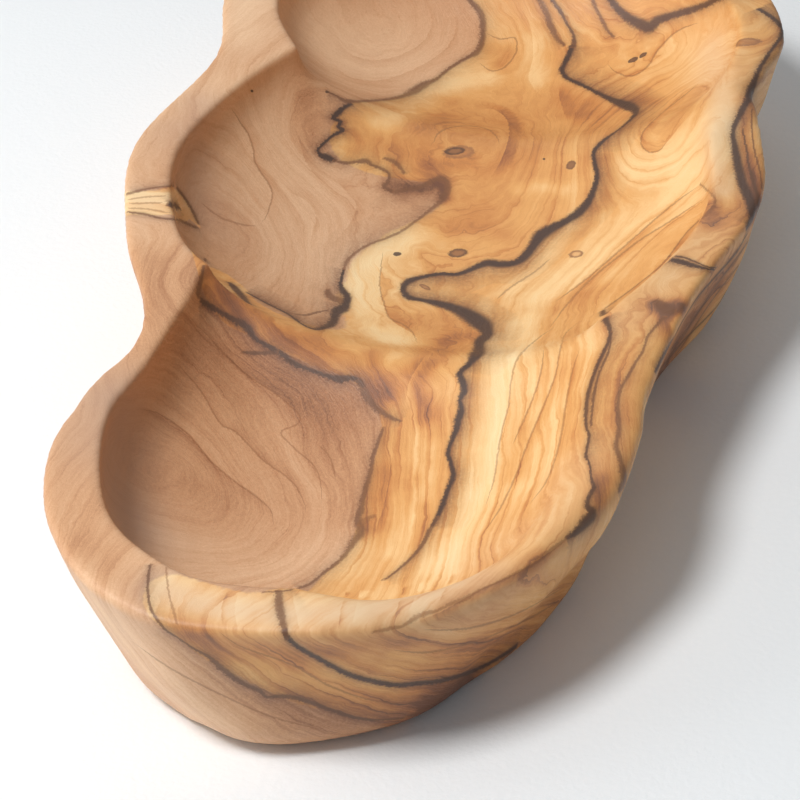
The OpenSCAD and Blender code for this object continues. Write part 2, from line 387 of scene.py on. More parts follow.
    "strip_top": (0.5, 3, 1, [(124, 195, 1.2), (142, 190, 1.3), (160, 187, 0.8), (175, 186, 1)]),
    "strip_low": (0.6, 1, 2, [
        (126, 212, 0.8), (144, 214, 1.2), (160, 218, 1), (178, 220, 1.2), (190, 225, 1.5), (199, 228, 0.8),
    ]),
    "strip_end": (0.7, 2, 2, [(176, 187, 1.5), (184, 197, 1.6), (192, 210, 1.6), (199, 225, 1)]),
    "strip_knot": (0.9, 3, 3, [(167, 205, 1), (172, 205, 2.6), (178, 207, 1.8), (181, 208, 0.6)]),
}

# A distance in metres well outside the dish, from which rays are cast onto its sides
OUTSIDE = 0.3
# Sides that the photograph doesn't show in full: start and way of a ray for a point of each, in metres
SIDES = {
    "left": lambda y, z: ((-OUTSIDE, y, z), (1, 0, 0)),
    "right": lambda y, z: ((OUTSIDE, y, z), (-1, 0, 0)),
    "far": lambda x, z: ((x, OUTSIDE, z), (0, -1, 0)),
    "below": lambda x, y: ((x, y, -OUTSIDE), (0, 0, 1)),
}

# Veins there, guessed: the side, the tone, how far they bleed in mm to the left and to the right of the
# way along them, then points on the side and half the width, all in mm
HIDDEN_VEINS = {
    "far_border": ("far", 0.8, 1, 2, [
        (-39, 41, 0.4), (-33, 32, 0.7), (-25, 24, 0.5), (-17, 14, 0.8), (-6, 3, 0.5),
    ]),
    "far_layer": ("far", 0.9, 1.5, 0.6, [
        (33, 41, 0.3), (36, 34, 0.6), (34, 27, 0.8), (40, 18, 0.5), (48, 10, 0.4), (54, 4, 0.3),
    ]),
    "far_twin": ("far", 0.6, 0.8, 0.8, [
        (-0.5, 41, 0.5), (1, 34, 0.6), (-2, 27, 0.5), (0, 19, 0.6), (4, 11, 0.4), (5, 4, 0.3),
    ]),
    "far_fork_low": ("far", 0.85, 1, 1.2, [
        (14.6, 41, 0.6), (16, 35, 0.8), (13, 28, 0.6), (17, 20, 0.9), (22, 12, 0.6), (24, 4, 0.4),
    ]),
    "right_layer": ("right", 0.8, 1, 2, [
        (118, 30, 0.3), (100, 26, 0.6), (88, 27, 0.4), (70, 24, 0.8), (58, 26, 0.3),
    ]),
    "right_streak": ("right", 0.7, 1, 2, [
        (40, 20, 0.2), (26, 15, 0.6), (12, 16, 0.5), (-4, 12, 0.7), (-14, 13, 0.2),
    ]),
    "right_foot": ("right", 0.6, 1, 1, [(-30, 10, 0.2), (-44, 9, 0.5), (-58, 5, 0.3)]),
    "right_low": ("right", 0.6, 1.5, 1, [(64, 12, 0.3), (42, 9, 0.5), (20, 4, 0.4)]),
    "left_strip_far": ("left", 0.6, 1, 0.5, [
        (-11.4, 41, 0.3), (-13, 31, 0.4), (-17, 20, 0.4), (-22, 11, 0.2),
    ]),
    "left_strip_near": ("left", 0.6, 0.5, 1, [
        (-17.6, 41, 0.3), (-19, 31, 0.3), (-21, 21, 0.4), (-23, 12, 0.2),
    ]),
    "below_border": ("below", 0.9, 1, 2, [
        (-6, 132, 0.4), (2, 118, 0.7), (9, 104, 0.5), (8, 92, 1.1), (4, 80, 0.6), (10, 66, 0.9),
        (20, 52, 1.3), (23, 40, 0.6), (21, 22, 0.5), (26, 6, 0.9), (27, -12, 0.6), (24, -22, 1.2),
        (31, -40, 0.8), (29, -58, 0.5), (20, -68, 0.9), (17, -84, 1.2), (20, -102, 0.6), (15, -118, 0.8),
        (8, -132, 0.4),
    ]),
    "below_layer": ("below", 0.7, 2, 1, [
        (44, 98, 0.3), (41, 84, 0.5), (43, 66, 0.7), (50, 52, 0.4), (47, 34, 0.5), (42, 20, 0.8),
        (44, 2, 0.4), (50, -10, 0.2),
    ]),
}

# Hidden veins that the border of the heartwood runs along
HIDDEN_BORDERS = ["far_border", "below_border"]

# Growth lines that are used more than once, by the pixels that they pass
MIDDLE_LEFT = [
    (230, 106), (240, 122), (248, 134), (253, 148), (255, 162), (262, 174), (270, 186), (272, 198),
    (267, 214), (260, 227),
]
NEAR_LONG = [
    (190, 320), (206, 334), (223, 353), (248, 376), (270, 390), (288, 404), (300, 416), (296, 425),
    (281, 432), (293, 447), (314, 466), (321, 486), (321, 512),
]
NEAR_MIDDLE = [(177, 363), (200, 390), (220, 423), (237, 433), (263, 460), (290, 480), (303, 500), (307, 520)]
NEAR_LOW = [(138, 409), (157, 413), (187, 433), (210, 460), (233, 480), (257, 497), (272, 513), (272, 532)]
NEAR_RIGHT = [
    (584, 318), (566, 333), (560, 351), (556, 373), (546, 400), (534, 428), (524, 453), (514, 480),
    (498, 512), (478, 540),
]
NEAR_RIGHT_SHORT = [(544, 347), (541, 372), (533, 398), (522, 424), (512, 446)]
NEAR_RIGHT_OUTER = [(580, 347), (572, 373), (566, 404), (562, 431), (556, 456), (546, 482), (528, 506)]
STRIP_UPPER = [(700, 185), (680, 199), (660, 215), (620, 250), (585, 280), (552, 304)]
STRIP_LOWER = [(706, 197), (672, 220), (640, 240), (614, 260), (590, 280), (566, 306), (548, 330)]
FAR_RIGHT_LOOP = [(700, 22), (676, 32), (658, 50), (648, 66), (632, 76), (616, 72), (606, 62)]
MIDDLE_TOP = [(294, 128), (300, 144), (306, 162), (316, 176), (328, 186)]
MIDDLE_FOLD = [(330, 170), (338, 182), (348, 194), (356, 204), (354, 216), (348, 226), (338, 238), (326, 250)]
MIDDLE_LOOP = [(284, 190), (298, 196), (310, 204), (316, 220), (310, 240)]
EYE_RING = [
    (476, 110), (492, 109), (506, 118), (509, 132), (506, 148), (498, 166), (490, 178), (474, 196),
    (452, 214),
]
FAR_RING = [(448, 0), (456, 22), (448, 46), (420, 66), (382, 80), (348, 76), (328, 56)]
FAR_INNER_RING = [(425, 0), (432, 20), (424, 40), (400, 55), (370, 60), (345, 50), (335, 30)]
PALE_FOLD = [(417, 346), (414, 335), (390, 318), (380, 288), (383, 250)]

# Fine growth lines in the wood, by the pixels that they pass
FINE_LINES = [
    [(126, 200), (145, 197), (166, 196)],
    [(126, 208), (146, 209), (170, 213)],
    [(128, 204), (148, 203), (164, 203)],
    MIDDLE_LEFT,
    [(200, 202), (218, 216), (230, 221), (244, 225), (258, 226)],
    NEAR_LONG,
    NEAR_MIDDLE,
    NEAR_LOW,
    [(318, 444), (330, 458), (336, 480)],
    [(430, 148), (440, 132), (460, 126), (484, 128), (496, 136), (500, 146)],
    [(383, 250), (381, 268), (380, 288), (385, 306), (390, 318), (404, 325), (414, 335), (417, 346)],
    [
        (559, 324), (536, 340), (518, 358), (511, 382), (509, 404), (502, 431), (498, 453), (494, 480),
        (484, 510),
    ],
    NEAR_RIGHT,
    NEAR_RIGHT_SHORT,
    NEAR_RIGHT_OUTER,
    STRIP_UPPER,
    STRIP_LOWER,
    [(551, 258), (533, 273), (511, 287), (496, 300)],
    [
        (700, 82), (686, 94), (668, 108), (652, 122), (642, 134), (642, 146), (650, 152), (660, 150),
        (668, 140),
    ],
    FAR_RIGHT_LOOP,
    [(484, 32), (500, 39), (515, 38), (516, 52), (506, 66), (492, 71), (478, 62)],
    [(130, 640), (170, 668), (220, 694), (270, 716), (330, 732)],
    [(214, 628), (240, 646), (290, 664), (330, 686), (372, 700), (420, 704)],
    [(390, 650), (430, 652), (480, 640), (530, 618), (570, 594)],
    [(420, 630), (470, 628), (520, 612), (566, 586)],
]
# Lines that steer the grain and aren't drawn as fine lines
GRAIN_LINES = [
    [(696, 200), (664, 226), (630, 252), (596, 284), (572, 312)],
    [(257, 544), (223, 546), (180, 533), (140, 513), (110, 494)],
    [(124, 203), (150, 202), (174, 203)],
    MIDDLE_TOP,
    MIDDLE_FOLD,
    MIDDLE_LOOP,
    EYE_RING,
    FAR_RING,
    FAR_INNER_RING,
    [
        (112, 432), (146, 440), (178, 458), (204, 480), (214, 496), (204, 508), (172, 504), (136, 490),
        (106, 470),
    ],
    [(160, 232), (158, 260), (154, 284)],
    [(186, 250), (182, 276), (183, 300)],
    [(82, 395), (80, 430), (71, 460), (65, 500), (59, 530), (64, 550)],
    [(96, 492), (92, 512), (86, 528), (83, 548), (84, 572)],
]
# Tone of the fine lines, and half their width in pixels
FINE_TONE = 0.18
FINE_HALF_WIDTH = 0.9

# Border of the taupe heartwood, walked with the honey sapwood on the left of the way
HEART_BORDER = [
    (405, -90), (410, -75), (418, -58), (432, -44), (450, -28), (470, 0), (480, 12), (484, 24), (482, 40),
    (477, 52), (450, 68), (425, 84), (390, 99), (352, 103), (338, 114), (343, 128), (322, 146), (326, 158),
    (356, 163), (388, 174), (384, 187), (420, 187), (446, 180), (447, 192), (430, 210), (400, 232),
    (368, 245), (346, 263), (341, 285), (346, 298), (334, 319), (314, 330), (288, 314), (250, 294),
    (230, 281), (212, 262), (203, 270), (199, 298), (222, 314), (247, 330), (280, 353), (316, 370),
    (352, 376), (363, 391), (384, 424), (373, 456), (363, 498), (358, 524), (338, 562), (308, 585),
    (270, 591), (232, 589), (197, 582), (170, 571), (153, 567), (148, 592), (166, 630), (208, 656),
    (244, 684), (280, 696), (330, 710), (376, 720), (420, 716),
]

# Honey sapwood that crosses the heartwood: the side, points along its middle and half its width, in
# pixels for the photograph and in mm for a side
SAP_STRIPS = [
    (None, [(124, 203, 10), (145, 203, 12), (160, 203, 12), (172, 203, 10), (186, 210, 8), (199, 226, 1)]),
    ("left", [(-14.5, 41, 3), (-16, 30, 2.8), (-19, 20, 1.8), (-22, 11, 0.4)]),
]

# Knots: pixels across and down of the middle, half width and half height in pixels, turn in degrees,
# and how dark the rim and the core are
KNOTS = [
    (459, 152, 20, 9, 4, 0.3, 0.15),
    (455, 151, 13, 5, 6, 0.9, 0.5),
    (571, 165, 6.8, 4.8, 40, 0.7, 0.55),
    (397, 254, 5, 2.6, 5, 1, 1),
    (458, 253, 12, 5.5, 8, 0.85, 0.4),
    (576, 254, 8.5, 4.5, 10, 0.45, 0.0),
    (633, 60, 7, 3, 25, 0.95, 0.8),
    (643, 55, 5.5, 2.6, 35, 0.95, 0.8),
    (747, 42, 18, 6, 4, 0.4, 0.25),
    (425, 287, 7, 2.6, -25, 0.6, 0.3),
    (544, 159, 1.6, 1.4, 0, 1, 1),
    (252, 91, 1.6, 1.6, 0, 1, 1),
    (327, 92, 2.2, 1.6, 0, 0.9, 0.9),
]

# Veins that the grain runs along, besides the fine lines
GRAIN_VEINS = [
    "disc_edge", "twin_left", "far_fork", "right_rim", "rim_one", "rim_two", "far_wall", "near_border",
    "near_rim", "near_left",
]

# Soft shading of the wood: change of shade, half width in pixels and the pixels that the stroke passes.
# Shade -1 is the palest wood, 0 plain and 1 dark brown. Some strokes are painted light and shade, as marked.
SHADES = [
    (-0.45, 11, [(405, 240), (380, 250), (363, 266), (358, 285), (364, 308), (372, 330), (390, 340)]),
    (-0.35, 10, [(392, 332), (404, 346), (398, 360)]),
    (-0.65, 15, [(512, 326), (500, 362), (494, 400), (488, 440), (478, 490), (460, 535), (440, 562)]),
    (-0.3, 34, [(560, 350), (540, 420), (520, 480)]),
    (-0.55, 26, [(640, 165), (690, 150), (712, 130)]),
    (-0.5, 22, [(690, 186), (655, 212), (620, 240), (585, 268), (540, 298)]),
    (-0.3, 28, [(660, 50), (690, 60), (720, 50)]),
    (-0.35, 12, [(540, 78), (534, 60), (536, 40)]),
    (-0.35, 7, [(520, 190), (540, 187), (564, 190)]),
    (-0.25, 12, [(560, 126), (572, 140), (560, 158)]),
    (-0.4, 24, [(172, 584), (230, 606), (330, 612), (400, 602), (440, 580)]),
    (-0.25, 9, [(430, 450), (427, 475), (424, 495)]),
    (-0.35, 10, [(432, 106), (400, 116), (376, 122)]),
    (0.35, 20, [(352, 118), (366, 142), (396, 152), (420, 162)]),
    (0.35, 12, [(446, 100), (430, 116), (420, 128)]),
    (0.3, 40, [(470, 120), (500, 160), (480, 210)]),
    (0.35, 9, [(430, 168), (450, 166), (470, 162)]),
    (0.2, 8, [(446, 230), (480, 229), (506, 232)]),
    (0.35, 16, [(400, 320), (436, 322), (464, 338)]),
    (0.1, 20, [(404, 430), (398, 470), (388, 515)]),
    (0.25, 9, [(526, 428), (520, 450), (512, 474)]),
    (0.3, 14, [(214, 276), (226, 294), (250, 312), (270, 330), (310, 345)]),
    (0.55, 17, [(304, 92), (307, 120), (313, 142)]),
    (0.45, 12, [(370, 354), (372, 378), (384, 398)]),
    (0.45, 11, [(424, 366), (418, 390), (430, 414)]),
    (0.35, 9, [(452, 336), (440, 360)]),
    (0.25, 14, [(566, 90), (576, 104), (584, 114)]),
    (0.4, 10, [(494, 50), (506, 54), (500, 64)]),
    (-0.4, 8, [(440, 90), (465, 82), (490, 78)]),
    (0.9, 8, [(392, 185), (420, 189), (440, 185), (443, 198)]),
    (0.25, 30, [(590, 120), (560, 150)]),
    (0.35, 8, [(604, 160), (607, 180), (600, 206)]),
    (0.2, 12, [(600, 360), (604, 420), (606, 470)]),
    (0.75, 8, [(655, 305), (664, 309), (680, 305)]),
    (0.35, 10, [(664, 312), (666, 330)]),
    (0.4, 9, [(704, 210), (712, 224)]),
    (0.15, 12, [(620, 318), (650, 300)]),
    # The near outer wall darker below the rim and towards its low right end: its own tone and painted shade
    (0.25, 34, [(330, 656), (420, 664), (500, 644), (560, 600)]),
    (0.1, 22, [(330, 645), (420, 650), (500, 630), (560, 596)]),
    (0.35, 26, [(210, 690), (300, 715), (400, 712), (500, 675)]),
    (0.6, 24, [(440, 700), (520, 665), (580, 610), (625, 520)]),
    (0.4, 14, [(190, 634), (240, 644), (300, 654)]),
    (-0.2, 9, [(236, 668), (262, 676), (290, 684)]),
    (0.15, 18, [(628, 330), (626, 380), (610, 440), (604, 490)]),
    # The right outer wall darker: its own tone and painted shade
    (0.35, 24, [(730, 262), (696, 312), (662, 372)]),
    (-0.15, 16, [(716, 60), (722, 100), (712, 150), (722, 190)]),
    (0.3, 9, [(652, 144), (668, 128), (690, 104), (706, 86)]),
    (0.35, 9, [(556, 308), (566, 302), (578, 296)]),
    (0.8, 8, [(754, 104), (746, 126), (748, 160), (757, 195), (758, 215)]),
    (0.1, 14, [(690, 240), (720, 240), (735, 220)]),
    (-0.3, 14, [(680, 284), (700, 276)]),
    # Painted light: the floors of the middle and far hollows lighter
    (-0.58, 60, [(250, 130), (290, 200), (320, 270)]),
    (-0.65, 50, [(330, 40), (400, 50)]),
    (0.15, 10, [(352, 642), (384, 646), (400, 650)]),
    (0.35, 10, [(204, 638), (222, 656)]),
    (0.5, 9, [(604, 480), (600, 500)]),
    (0.3, 8, [(440, 606), (500, 578), (540, 552)]),
    (0.35, 8, [(328, 291), (338, 300)]),
    (0.25, 7, [(610, 40), (614, 48)]),
    (0.35, 6, [(636, 102), (652, 102)]),
    (0.35, 7, [(498, 300), (500, 318), (496, 330)]),
    (0.2, 16, [(196, 486), (212, 494), (226, 500)]),
    (0.15, 20, [(138, 446), (150, 480)]),
    (0.35, 16, [(420, 350), (400, 372), (384, 392)]),
    (-0.3, 8, [(420, 434), (418, 464), (426, 478), (414, 518), (392, 552)]),
    (0.35, 12, [(380, 470), (376, 500), (372, 526)]),
    (-0.4, 34, [(240, 0), (200, 60), (140, 160), (135, 230)]),
    (-0.35, 24, [(246, 0), (244, 36)]),
    (-0.05, 30, [(90, 420), (66, 480), (80, 560), (110, 590)]),
    (0.4, 18, [(84, 545), (108, 566), (136, 592)]),
    # Painted light: the near-left outer wall lighter
    (-0.9, 30, [(110, 620), (150, 670), (190, 710)]),
    (0.5, 40, [(210, 350), (270, 380), (330, 410)]),
    (0.2, 40, [(190, 120), (200, 180), (230, 230)]),
    (0.15, 14, [(130, 203), (175, 203)]),
    # Painted sheen: the near hollow's inner wall on the near side lighter
    (-0.55, 26, [(140, 540), (200, 568), (270, 575), (330, 555)]),
    (-0.3, 30, [(300, 20), (340, 60), (400, 80)]),
    (0.15, 12, [(215, 275), (240, 305), (290, 335), (330, 350)]),
    (0.25, 20, [(158, 262), (150, 300), (126, 345)]),
    # Darker just below the near rim's edge: partly the wood's tone, partly painted shade
    (0.3, 11, [(340, 648), (380, 644), (420, 634), (460, 616), (500, 598), (530, 580)]),
]

# Wild grain: strength, half width in pixels and the pixels that the stroke passes
BURLS = [
    (1, 60, [(470, 90), (450, 170), (440, 250)]),
    (0.8, 40, [(400, 320), (430, 380)]),
    (0.7, 50, [(640, 40), (690, 60)]),
    (0.8, 30, [(640, 320), (660, 300), (700, 240)]),
]

# Where the bands of the grain stand out more, or less if below 0: strength, half width in pixels and pixels
CONTRASTS = [
    (-0.5, 30, [(396, 136), (420, 160)]),
    (-0.5, 44, [(470, 90), (500, 140), (490, 200)]),
    (-0.4, 24, [(556, 84), (580, 108)]),
    (-0.4, 30, [(420, 330), (430, 370)]),
    (-0.6, 40, [(130, 450), (170, 480), (200, 500)]),
    (0.4, 26, [(404, 420), (396, 480), (384, 540)]),
    (0.4, 44, [(250, 660), (340, 680), (440, 680), (540, 640), (600, 560)]),
    (0.6, 40, [(590, 340), (560, 420), (520, 500)]),
    (0.5, 20, [(180, 600), (280, 612), (380, 606), (460, 580)]),
    (0.8, 24, [(730, 262), (696, 312), (662, 372)]),
    (0.9, 14, [(130, 203), (175, 203)]),
    (-0.6, 70, [(340, 30), (400, 40)]),
    (-0.3, 40, [(250, 130), (290, 200), (300, 260)]),
]

# Greyer wood, partly its own tone and partly painted sheen and cool shade: strength, half width in pixels and
# pixels
GREY_SHEEN_SHADE = [
    (0.5, 14, [(130, 203), (170, 203)]),
    # Painted cool shade on the shaded left walls of the hollows
    (0.4, 26, [(200, 105), (190, 155), (198, 210)]),
    (0.85, 26, [(118, 420), (108, 470), (125, 520)]),
    # Painted sheen on the near rim
    (0.85, 20, [(164, 592), (220, 608), (290, 615), (360, 612), (420, 600), (470, 578)]),
    (0.35, 22, [(570, 470), (540, 520), (490, 556)]),
    # Painted sheen on the right rim
    (0.5, 16, [(712, 50), (722, 100), (712, 150), (722, 190)]),
    (0.35, 22, [(620, 320), (650, 300), (690, 250), (720, 230)]),
]

# Growth layers with one sharp side: change of shade at the line, and how many pixels it takes to
# fade away on the left of the way along the line
FLAMES = [
    (0.4, 14, FAR_RING),
    (0.4, 14, FAR_INNER_RING),
    (0.4, 16, MIDDLE_LEFT[:-1]),
    (0.35, 16, MIDDLE_TOP),
    (0.35, 16, MIDDLE_LOOP),
    (0.3, 18, MIDDLE_FOLD),
    (0.4, 16, NEAR_LONG[:-6]),
    (0.3, 14, NEAR_MIDDLE),
    (0.4, 18, NEAR_LOW[::-1]),
    (0.6, 9, [(228, 590), (222, 606), (222, 628)]),
    (-0.5, 22, [(238, 592), (235, 610), (238, 632)]),
    (-0.5, 22, [(292, 592), (296, 612), (300, 632)]),
    (0.6, 9, [(346, 592), (341, 610), (338, 630)]),
    (-0.5, 20, [(360, 590), (356, 608), (352, 626)]),
    (0.6, 9, [(404, 586), (400, 600), (394, 618)]),
    (-0.5, 18, [(420, 582), (415, 597), (408, 613)]),
    (0.6, 9, [(452, 574), (446, 588), (438, 602)]),
    (0.3, 12, [(396, 436), (390, 470), (384, 505), (370, 545)]),
    (-0.3, 14, [(430, 350), (410, 380), (404, 410)]),
    (-0.35, 22, PALE_FOLD),
    (0.25, 30, PALE_FOLD[::-1]),
    (-0.35, 26, [(480, 520), (494, 480), (502, 431), (509, 404), (511, 382), (518, 358), (559, 324)]),
    (0.4, 16, NEAR_RIGHT[:-1]),
    (0.35, 14, NEAR_RIGHT_SHORT),
    (0.3, 16, NEAR_RIGHT_OUTER[:-1]),
    (0.4, 34, EYE_RING[:-2]),
    (-0.3, 24, [(520, 0), (531, 30), (533, 55), (529, 80), (545, 100)]),
    (0.25, 26, [(559, 82), (560, 100), (568, 122)]),
    (0.4, 14, [
        (700, 82), (668, 108), (652, 122), (642, 134), (642, 146), (650, 152), (660, 150), (680, 126),
        (698, 106),
    ]),
    (0.4, 10, FAR_RIGHT_LOOP[::-1]),
    (0.45, 14, STRIP_UPPER),
    (0.3, 12, STRIP_LOWER[:-1]),
    (0.35, 30, [(715, 203), (687, 232), (663, 263), (633, 288), (603, 310)]),
    # Darker band on the near outer wall below the rim edge: partly the wood's tone, partly painted shade
    (0.5, 14, [(590, 512), (560, 544), (520, 571), (480, 590), (440, 612), (404, 627)]),
    (0.25, 14, [(470, 450), (474, 480), (466, 510), (450, 540)]),
]


def make_camera():
    """Camera at the photograph's viewing angle."""
    forward = Vector((
        -math.sin(CAMERA_TURN) * math.cos(CAMERA_PITCH),
        math.cos(CAMERA_TURN) * math.cos(CAMERA_PITCH),
        -math.sin(CAMERA_PITCH),
    ))
    data = bpy.data.cameras.new("photo_camera")
    data.sensor_width = SENSOR_WIDTH_MM
    data.lens = SENSOR_WIDTH_MM * FOCAL_PIXELS / IMAGE_SIZE
    camera = bpy.data.objects.new("photo_camera", data)
    camera.rotation_mode = "QUATERNION"
    camera.rotation_quaternion = forward.to_track_quat("-Z", "Y")
    camera.location = AIM_POINT - forward * CAMERA_DISTANCE
    bpy.context.scene.collection.objects.link(camera)
    bpy.context.scene.camera = camera
    bpy.context.view_layer.update()
    return camera


def smooth_path(points, step):
    """Rows about a step apart on a smooth curve through the given rows."""
    points = np.asarray(points, float)
    padded = np.vstack([2 * points[0] - points[1], points, 2 * points[-1] - points[-2]])
    rows = []
    for a, b, c, d in zip(padded, padded[1:], padded[2:], padded[3:]):
        count = max(1, int(np.linalg.norm((c - b)[:2]) / step))
        t = np.linspace(0, 1, count, endpoint=False)[:, None]
        bend = 2 * a - 5 * b + 4 * c - d
        rows.append(b + t * (c - a) / 2 + t**2 * bend / 2 + t**3 * (3 * b - a - 3 * c + d) / 2)
    return np.vstack(rows + [points[-1:]])


class Line:
    """A line on the dish's surface: its places, the direction to its left, the millimetres that a pixel
    spans across it, and values along it."""

    def __init__(self, places, normals, spans, values):
        self.places = np.array(places)
        padded = np.pad(spans, SPAN_WINDOW // 2, mode="edge")
        self.spans = np.convolve(padded, np.full(SPAN_WINDOW, 1 / SPAN_WINDOW), mode="valid")
        tangents = np.gradient(self.places, axis=0)
        self.left = np.cross(np.array(normals), tangents)
        self.left /= np.linalg.norm(self.left, axis=1, keepdims=True) + TINY
        self.values = np.array(values)

    def taper(self, share):
        """Value that rises from 0 at both ends to 1, over a share of the line."""
        along = np.linspace(0, 1, len(self.places))
        return np.minimum(1, np.minimum(along, 1 - along) / share)


class Surface:
    """The dish's mesh as arrays, with the camera's rays cast onto it."""

    def __init__(self, mesh, camera):
        self.mesh = mesh
        self.camera = camera
        points = np.zeros(len(mesh.vertices) * 3)
        mesh.vertices.foreach_get("co", points)
        self.polygons = [tuple(p.vertices) for p in mesh.polygons]
        self.move(points.reshape(-1, 3))

    def move(self, points):
        self.points = points
        self.mesh.vertices.foreach_set("co", points.ravel())
        self.mesh.update()
        self.tree = BVHTree.FromPolygons([tuple(p) for p in points], self.polygons)

    def cast(self, across, down, side):
        """Place and normal of the surface seen at a point of the photograph or of a side, or two Nones."""
        if side:
            start, ray = SIDES[side](across * MM, down * MM)
            return self.tree.ray_cast(Vector(start), Vector(ray))[:2]
        half = IMAGE_SIZE / 2
        ray = self.camera.matrix_world.to_3x3() @ Vector((across - half, half - down, -FOCAL_PIXELS))
        return self.tree.ray_cast(self.camera.location, ray.normalized())[:2]

    def trace(self, pixels, side=None):
        """The lines on the surface that a line of pixels falls on. A jump in depth breaks a line in two."""
        runs = [([], [], [], [])]
        widest = WIDEST_SPAN if side else WIDEST_SPAN / PIXELS_PER_MM
        path = smooth_path(pixels, TRACE_STEP / PIXELS_PER_MM if side else TRACE_STEP)
        ways = np.gradient(path[:, :2], axis=0)
        ways /= np.linalg.norm(ways, axis=1, keepdims=True)
        for row, way in zip(path, ways):
            place, normal = self.cast(row[0], row[1], side)
            places = runs[-1][0]
            if places and (place is None or (place - places[-1]).length > TRACE_JUMP):
                runs.append(([], [], [], []))
            if place is not None:
                beside, _ = self.cast(row[0] + way[1], row[1] - way[0], side)
                span = widest if beside is None else (beside - place).length / MM
                values = (place, normal, min(span, widest), row[2:])
                for store, value in zip(runs[-1], values):
                    store.append(value)
        return [Line(*run) for run in runs if len(run[0]) > 2]

    def near(self, line, reach):
        """Vertices within reach of a line: their numbers, its nearest points and the signed distances."""
        low, high = line.places.min(0) - reach, line.places.max(0) + reach
        boxed = np.flatnonzero(((self.points > low) & (self.points < high)).all(1))
        tree = KDTree(len(line.places))
        for i, place in enumerate(line.places):
            tree.insert(place, i)
        tree.balance()
        nearest = np.array([tree.find(p)[1] for p in self.points[boxed]], int)
        offset = self.points[boxed] - line.places[nearest]
        distance = np.linalg.norm(offset, axis=1)
        signed = np.where((offset * line.left[nearest]).sum(1) < 0, -distance, distance)
        kept = distance < reach
        return boxed[kept], nearest[kept], signed[kept]

    def weigh(self, points, side, reach, ends):
        """Weight of each vertex by its distance from a line: 1 on it, and 0 past so many times the reach."""
        weight = np.zeros(len(self.points))
        for line in self.trace(points, side):
            kept, _, signed = self.near(line, ends * reach)
            weight[kept] = np.maximum(weight[kept], np.exp(-((signed / reach) ** 2)))
        return weight

    def store(self, name, values):
        kind, key = ("FLOAT", "value") if values.ndim == 1 else ("FLOAT_VECTOR", "vector")
        attribute = self.mesh.attributes.new(name, kind, "POINT")
        attribute.data.foreach_set(key, values.astype(np.float32).ravel())


def make_dish():
    """The carved dish as an evenly meshed copy of its solid."""
    raw = bpy.data.objects.new("raw_dish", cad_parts["dish"].data.copy())
    bpy.context.scene.collection.objects.link(raw)
    weld = raw.modifiers.new("weld", "WELD")
    weld.merge_threshold = WELD_GAP
    remesh = raw.modifiers.new("even_mesh", "REMESH")
    remesh.mode = "VOXEL"
    remesh.voxel_size = VOXEL
    graph = bpy.context.evaluated_depsgraph_get()
    mesh = bpy.data.meshes.new_from_object(raw.evaluated_get(graph))
    bpy.data.objects.remove(raw)
    mesh.name = "carved_dish"
    mesh.materials.clear()
    mesh.polygons.foreach_set("use_smooth", np.ones(len(mesh.polygons), bool))
    dish = bpy.data.objects.new("carved_dish", mesh)
    bpy.context.scene.collection.objects.link(dish)
    return dish


def relax(points, edges, weight, passes):
    """Moves points towards the mean of their neighbours, by a weight for each."""
    degree = np.bincount(edges.ravel(), minlength=len(points))[:, None]
    for _ in range(passes):
        total = np.stack([
            np.bincount(edges[:, 0], points[edges[:, 1], axis], len(points))
            + np.bincount(edges[:, 1], points[edges[:, 0], axis], len(points))
            for axis in range(3)
        ], axis=1)
        points = points + weight[:, None] * SANDING_STEP * (total / np.maximum(degree, 1) - points)
    return points


def sand(surface):
    """Wears the crests and lips round, trims the carving and sands the whole dish lightly."""
    edges = np.zeros(len(surface.mesh.edges) * 2, int)
    surface.mesh.edges.foreach_get("vertices", edges)
    edges = edges.reshape(-1, 2)
    points = surface.points.copy()
    for passes, reach, pixels in CRESTS:
        weight = surface.weigh(pixels, None, reach * MM, CREST_ENDS)
        near = np.flatnonzero(weight)
        number = np.full(len(points), -1)
        number[near] = np.arange(len(near))
        inner = (number[edges] >= 0).all(1)
        share = np.where(weight[near] > CREST_LEAST, weight[near], 0)
        points[near] = relax(points[near], number[edges[inner]], share, passes)
    surface.move(points)
    for move, reach, side, places in TRIMS:
        weight = surface.weigh(places, side, reach * MM, STROKE_ENDS)
        points += weight[:, None] * np.array(move) * MM
    points = np.clip(points, np.array(cad_box[0]), np.array(cad_box[1]))
    surface.move(relax(points, edges, np.ones(len(points)), SANDING_PASSES))


def fit_field(lines, anchored, stride):
    """Smooth function of place, in mm: level along each line, and rising by 1 a mm to the left across it."""
    picked = [line for line in lines if len(line.places) > 2 * stride]
    paths = [line.places[::stride] / MM for line in picked]
    centres = np.vstack(paths)
    starts = np.vstack([path[:-1] for path in paths])
    ends = np.vstack([path[1:] for path in paths])
    lefts = np.vstack([line.left[::stride] for line in picked]) * FIELD_OFFSET

    def basis(places):
        apart = np.sqrt(((places[:, None] - centres[None]) ** 2).sum(-1) + FIELD_SOFTNESS**2)
        return np.hstack([apart, places, np.ones((len(places), 1))])

    rows = [basis(ends) - basis(starts), basis(centres + lefts) - basis(centres - lefts)]
    goals = [np.zeros(len(starts)), np.full(len(centres), 2 * FIELD_OFFSET)]
    if anchored:
        rows.append(basis(centres))
        goals.append(np.zeros(len(centres)))
    rows, goals = np.vstack(rows), np.concatenate(goals)
    penalty = np.full(rows.shape[1], FIELD_STIFFNESS * len(rows))
    penalty[-PLANE_TERMS:] = PLANE_STIFFNESS
    answer = np.linalg.solve(rows.T @ rows + np.diag(penalty), rows.T @ goals)

    def field(places):
        return np.concatenate([basis(part / MM) @ answer for part in np.array_split(places, FIELD_PARTS)])

    return field


